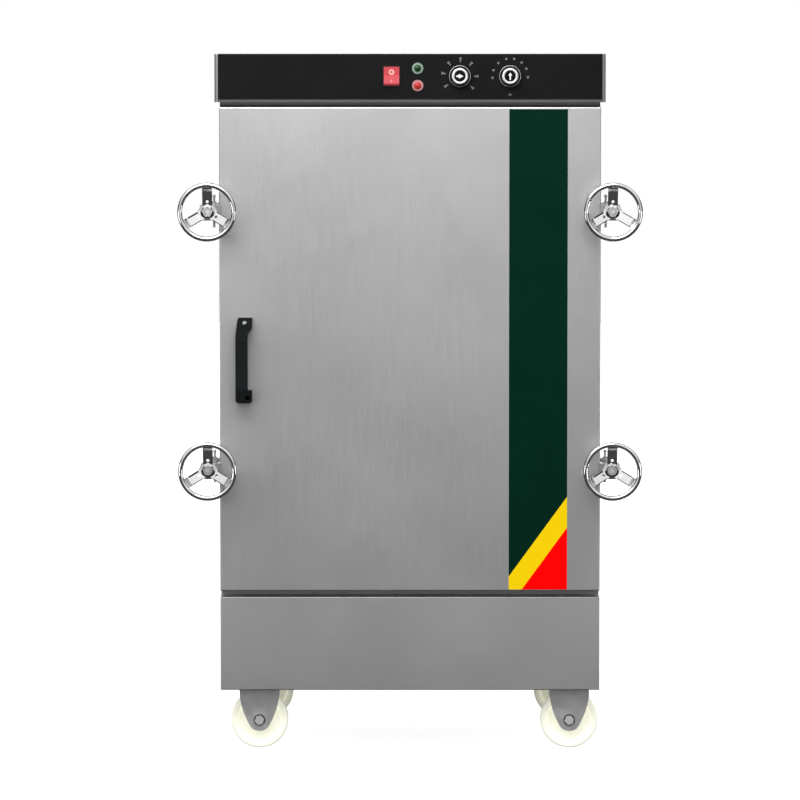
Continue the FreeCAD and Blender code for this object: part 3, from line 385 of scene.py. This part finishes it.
# ------------------------------------------------------------------ pieces made here
class Piece:
    """Collects faces of one small piece and makes one object of them."""

    def __init__(self, name, body, keys, slot=None):
        self.name, self.body, self.keys, self.slot = name, body, keys, slot
        self.bm = bmesh.new()

    def slab(self, outline, y0, y1, key, tilt=None):
        """Prism with an outline in X and Z, front face at y0, back face at y1; tilt maps each point."""
        f = (lambda p: p) if tilt is None else tilt
        front = [self.bm.verts.new(f(Vector((x, y0, z)))) for x, z in outline]
        back = [self.bm.verts.new(f(Vector((x, y1, z)))) for x, z in outline]
        i = self.keys.index(key)
        n = len(outline)
        for face in [front, list(reversed(back))] + [[front[a], back[a], back[(a + 1) % n], front[(a + 1) % n]] for a in range(n)]:
            self.bm.faces.new(face).material_index = i

    def ring(self, cx, cz, profile, key, segs=96, closed=True, tilt=None, smooth=True):
        """Revolves (radius, y) points about the axis along Y through cx, cz."""
        f = (lambda p: p) if tilt is None else tilt
        i = self.keys.index(key)
        rows = []
        for r, y in profile:
            if r < 1e-7:
                rows.append([self.bm.verts.new(f(Vector((cx, y, cz))))])
            else:
                rows.append([self.bm.verts.new(f(Vector((cx + r * math.cos(2 * math.pi * k / segs), y, cz + r * math.sin(2 * math.pi * k / segs))))) for k in range(segs)])
        pairs = list(zip(rows, rows[1:])) + ([(rows[-1], rows[0])] if closed else [])
        for a, b in pairs:
            for k in range(segs):
                k2 = (k + 1) % segs
                if len(a) == 1 and len(b) == 1:
                    continue
                if len(a) == 1:
                    fc = self.bm.faces.new((a[0], b[k2], b[k]))
                elif len(b) == 1:
                    fc = self.bm.faces.new((a[k], a[k2], b[0]))
                else:
                    fc = self.bm.faces.new((a[k], a[k2], b[k2], b[k]))
                fc.material_index = i
                fc.smooth = smooth

    def done(self):
        bmesh.ops.recalc_face_normals(self.bm, faces=self.bm.faces)
        me = bpy.data.meshes.new(self.name)
        self.bm.to_mesh(me)
        self.bm.free()
        for k in self.keys:
            me.materials.append(MAT[k])
        o = bpy.data.objects.new(self.name, me)
        scene.collection.objects.link(o)
        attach(o, self.body)
        return o


def rounded(cx, cz, hw, hh, r, n=5):
    pts = []
    for sx, sz, a0 in ((1, 1, 0), (-1, 1, 90), (-1, -1, 180), (1, -1, 270)):
        for k in range(n + 1):
            a = math.radians(a0 + 90 * k / n)
            pts.append((cx + sx * (hw - r) + r * math.cos(a), cz + sz * (hh - r) + r * math.sin(a)))
    return pts


# coloured stripe printed on the door; its yellow and red parts glow as painted light
stripe = Piece("door_stripe", "door", ["stripe_green", "stripe_yellow_painted_light", "stripe_red_painted_light"])
X0, X1, XK = 0.1767, 0.2810, 0.1999
ZT, ZB = 1.1495, 0.2910
G0, G1, R1 = 0.3144, 0.4576, 0.4024
YF, YB = -0.27218, -0.27202
stripe.slab([(X0, ZT), (X1, ZT), (X1, G1), (X0, G0)], YF, YB, "stripe_green")
stripe.slab([(X0, G0), (X1, G1), (X1, R1), (XK, ZB), (X0, ZB)], YF, YB, "stripe_yellow_painted_light")
stripe.slab([(XK, ZB), (X1, R1), (X1, ZB)], YF, YB, "stripe_red_painted_light")
stripe.done()

# printed dials: thin discs with marks
KZ = 1.208
dial_keys = ["dial_disc", "dial_mark"]
for node, kx in (("thermostat", 0.0884), ("timer", 0.1776)):
    d = Piece(f"{node}_dial", "root", dial_keys, "black_panel")
    d.ring(kx, KZ, [(0.0045, -0.27918), (0.0340, -0.27918), (0.0350, -0.27924), (0.0352, -0.27910), (0.0352, -0.27902), (0.0045, -0.27902)], "dial_disc", smooth=False)
    if node == "thermostat":
        for a in (215, 170, 130, 88, 48, 0, -42):
            t = math.radians(a)
            e, s = Vector((math.cos(t), math.sin(t))), Vector((-math.sin(t), math.cos(t)))
            pts = [e * 0.0250 - s * 0.0007, e * 0.0250 + s * 0.0007, e * 0.0334 + s * 0.0025, e * 0.0334 - s * 0.0025]
            d.slab([(kx + p.x, KZ + p.y) for p in pts], -0.27930, -0.27916, "dial_mark")
    else:
        for a in (185, 160, 132, 103, 77, 50, 25, -3):
            t = math.radians(a)
            d.ring(kx + 0.0003 + 0.0316 * math.cos(t), KZ + 0.0316 * math.sin(t), [(0.0, -0.27930), (0.0023, -0.27930), (0.0023, -0.27916), (0.0, -0.27916)], "dial_mark", segs=20, closed=False, smooth=False)
        d.slab([(kx, KZ - 0.0296), (kx - 0.0032, KZ - 0.0340), (kx + 0.0032, KZ - 0.0340)], -0.27930, -0.27916, "dial_mark")
    d.done()

# knob trim: bright bezel ring, ring on the skirt, white arrow
for node, kx, turn in (("thermostat_knob", 0.0884, 0.0), ("timer_knob", 0.1776, 90.0)):
    lo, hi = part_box(node)
    yf = lo.y
    p = Piece(f"{node}_trim", f"{node}_body", ["knob_ring", "knob_flank", "dial_ring", "pointer"], "polished_steel")
    p.ring(kx, KZ, [(0.0098, yf + 0.0006), (0.0100, yf - 0.0008), (0.0108, yf - 0.0014), (0.0130, yf - 0.0014), (0.0141, yf - 0.0006), (0.0144, yf + 0.0006), (0.0140, yf + 0.0012)], "knob_ring")
    p.ring(kx, KZ, [(0.0145, yf + 0.0010), (0.0152, yf + 0.0034), (0.0158, yf + 0.0080), (0.0160, yf + 0.0110), (0.0146, yf + 0.0110), (0.0140, yf + 0.0018)], "knob_flank")
    p.ring(kx, KZ, [(0.0178, -0.2834), (0.0180, -0.2842), (0.0187, -0.2844), (0.0192, -0.2840), (0.01925, -0.2830), (0.0178, -0.2832)], "dial_ring")
    t = math.radians(turn)
    e, s = Vector((math.cos(t), math.sin(t))), Vector((-math.sin(t), math.cos(t)))
    arrow = [(0.0062, 0.0), (-0.0022, 0.0040), (-0.0022, 0.0011), (-0.0066, 0.0010), (-0.0066, -0.0010), (-0.0022, -0.0011), (-0.0022, -0.0040)] if node == "thermostat_knob" else [(0.0064, 0.0), (0.0012, 0.0034), (0.0012, 0.0012), (-0.0068, 0.0011), (-0.0068, -0.0011), (0.0012, -0.0012), (0.0012, -0.0034)]
    p.slab([(kx + (e * a + s * b).x, KZ + (e * a + s * b).y) for a, b in arrow], yf - 0.0004, yf + 0.0002, "pointer")
    p.done()

# thin dark strips lying along the lower two spokes of each handwheel: painted shade on their borders
for node, (cx, cz) in WHEELS.items():
    e = Piece(f"{node}_painted_shade_strips", f"{node}_body", ["spoke_edge"], "polished_steel")
    for deg, s0, s1, r0, r1 in ((210, -0.0087, -0.0058, 0.0150, 0.0350), (210, 0.0072, 0.0087, 0.0150, 0.0364), (330, 0.0071, 0.0087, 0.0150, 0.0356), (330, -0.0087, -0.0072, 0.0150, 0.0364)):
        a = math.radians(deg)
        ca, sa = math.cos(a), math.sin(a)

        def on_spoke(p, cx=cx, cz=cz, ca=ca, sa=sa):
            """Point given as radius, depth and offset across the spoke."""
            y = -0.2940 - 0.0125 * (p.x - 0.0095) / 0.0273 + p.y
            return Vector((cx + ca * p.x - sa * p.z, y, cz + sa * p.x + ca * p.z))

        e.slab([(r0, s0), (r1, s0), (r1, s1), (r0, s1)], -0.00012, 0.0003, "spoke_edge", tilt=on_spoke)
    e.done()

# marks on the rocker, lying on its two sloping halves; their print glows as painted light
RP = Vector((-0.033, -0.272, KZ))
ROT = Matrix.Rotation(math.radians(-9.0), 4, "X")


def on_rocker(p):
    """Puts a point given as height above the rocker's middle and depth on its surface."""
    a = p.z
    depth = -0.0086 - 0.2 * abs(a)
    return RP + ROT @ Vector((p.x, depth + p.y, a))


marks = Piece("rocker_marks", "rocker", ["rocker_mark", "rocker_line"], "white_plastic")
marks.ring(0.0, 0.0058, [(0.0023, -0.0002), (0.0049, -0.0002), (0.0049, 0.0001), (0.0023, 0.0001)], "rocker_mark", segs=40, tilt=on_rocker, smooth=False)
marks.slab([(-0.0010, -0.0132), (0.0010, -0.0132), (0.0010, -0.0078), (-0.0010, -0.0078)], -0.0002, 0.0001, "rocker_line", tilt=on_rocker)
marks.done()


# ------------------------------------------------------------------ stage, light, camera
def stage_floor():
    """A wide flat floor; the pale world carries on from its far edge."""
    bm = bmesh.new()
    steps = [-16.0 + 2.0 * k for k in range(17)]
    grid = [[bm.verts.new((x, y, 0.0)) for y in steps] for x in steps]
    for i in range(16):
        for j in range(16):
            bm.faces.new((grid[i][j], grid[i + 1][j], grid[i + 1][j + 1], grid[i][j + 1]))
    bmesh.ops.recalc_face_normals(bm, faces=bm.faces)
    me = bpy.data.meshes.new("studio_floor")
    bm.to_mesh(me)
    bm.free()
    for p in me.polygons:
        p.use_smooth = True
    o = bpy.data.objects.new("studio_floor", me)
    scene.collection.objects.link(o)
    m, t, b = new_material("studio_floor")
    v = coords(t)
    lp = t.nodes.new("ShaderNodeLightPath")
    seen = lp.outputs["Is Camera Ray"]
    pale = mix(t, noise(t, v, 1.5, 2.0), (0.86, 0.86, 0.86), (0.90, 0.90, 0.90))
    t.links.new(mix(t, seen, (0.045, 0.045, 0.045), pale), b.inputs["Base Color"])
    b.inputs["Roughness"].default_value = 0.9
    b.inputs["Specular IOR Level"].default_value = 0.1
    b.inputs["Emission Color"].default_value = (1, 1, 1, 1)
    t.links.new(span(t, seen, 0, 1, 0.0, 0.92), b.inputs["Emission Strength"])
    me.materials.append(m)
    return o


def softbox(name, loc, target, size, power, color=(1, 1, 1), spread=math.pi):
    d = bpy.data.lights.new(name, "AREA")
    d.shape = "RECTANGLE"
    d.size, d.size_y = size
    d.energy = power
    d.color = color
    d.spread = spread
    o = bpy.data.objects.new(name, d)
    o.location = loc
    o.rotation_euler = (Vector(target) - Vector(loc)).to_track_quat("-Z", "Y").to_euler()
    scene.collection.objects.link(o)
    return o


def studio_world():
    """Bright from above and from the front, dark below, beside and behind."""
    w = bpy.data.worlds.new("studio")
    scene.world = w
    w.use_nodes = True
    t = w.node_tree
    t.nodes.clear()
    out = t.nodes.new("ShaderNodeOutputWorld")
    bg = t.nodes.new("ShaderNodeBackground")
    tc = t.nodes.new("ShaderNodeTexCoord")
    sx = t.nodes.new("ShaderNodeSeparateXYZ")
    t.links.new(tc.outputs["Generated"], sx.inputs[0])
    up = math2(t, "MULTIPLY", span(t, sx.outputs["Z"], 0.22, 0.62, 0.0, 0.95), span(t, sx.outputs["Y"], -0.05, 0.20, 1.0, 0.12))
    wing = math2(t, "MULTIPLY", span(t, math2(t, "ABSOLUTE", sx.outputs["X"], 0.0), 0.35, 0.60, 0.0, 0.36), span(t, sx.outputs["Z"], 0.22, 0.34, 0.0, 1.0))
    wing = math2(t, "MULTIPLY", wing, span(t, sx.outputs["Y"], -0.30, -0.50, 0.0, 1.0))
    front = math2(t, "MULTIPLY", span(t, sx.outputs["Y"], -0.20, -0.70, 0.0, 0.62), span(t, sx.outputs["Z"], -0.45, -0.05, 0.15, 1.0))
    v = math2(t, "ADD", math2(t, "ADD", math2(t, "MAXIMUM", up, front), wing), 0.02)
    lp = t.nodes.new("ShaderNodeLightPath")
    v = math2(t, "MAXIMUM", v, lp.outputs["Is Camera Ray"])
    t.links.new(v, bg.inputs["Strength"])
    bg.inputs["Color"].default_value = (1, 1, 1, 1)
    t.links.new(bg.outputs[0], out.inputs[0])


floor = stage_floor()
studio_world()
softbox("key", (-0.5, -1.7, 2.35), (0.0, -0.25, 1.2), (2.2, 0.9), 44.0)
softbox("left_low", (-2.6, -1.6, 0.35), (0.0, -0.2, 0.1), (0.5, 1.2), 12.0)
softbox("right_low", (2.6, -1.6, 0.35), (0.0, -0.2, 0.1), (0.5, 1.2), 12.0)
softbox("top", (0.0, 0.5, 3.2), (0.0, 0.2, 0.6), (2.6, 2.2), 4.0)
softbox("rear", (0.4, 3.4, 2.2), (0.0, 0.3, 0.6), (3.4, 2.0), 60.0)

cam_data = bpy.data.cameras.new("camera")
cam_data.sensor_width = 36.0
cam_data.lens = 4711.9 / 800 * 36.0
cam_data.clip_end = 60.0
cam = bpy.data.objects.new("camera", cam_data)
cam.location = (-0.0179, -8.672, 1.166)
cam.rotation_euler = (math.pi / 2 - 0.0636, 0.0, 0.0)
scene.collection.objects.link(cam)
scene.camera = cam
scene.view_settings.view_transform = "Standard"
scene.view_settings.look = "None"
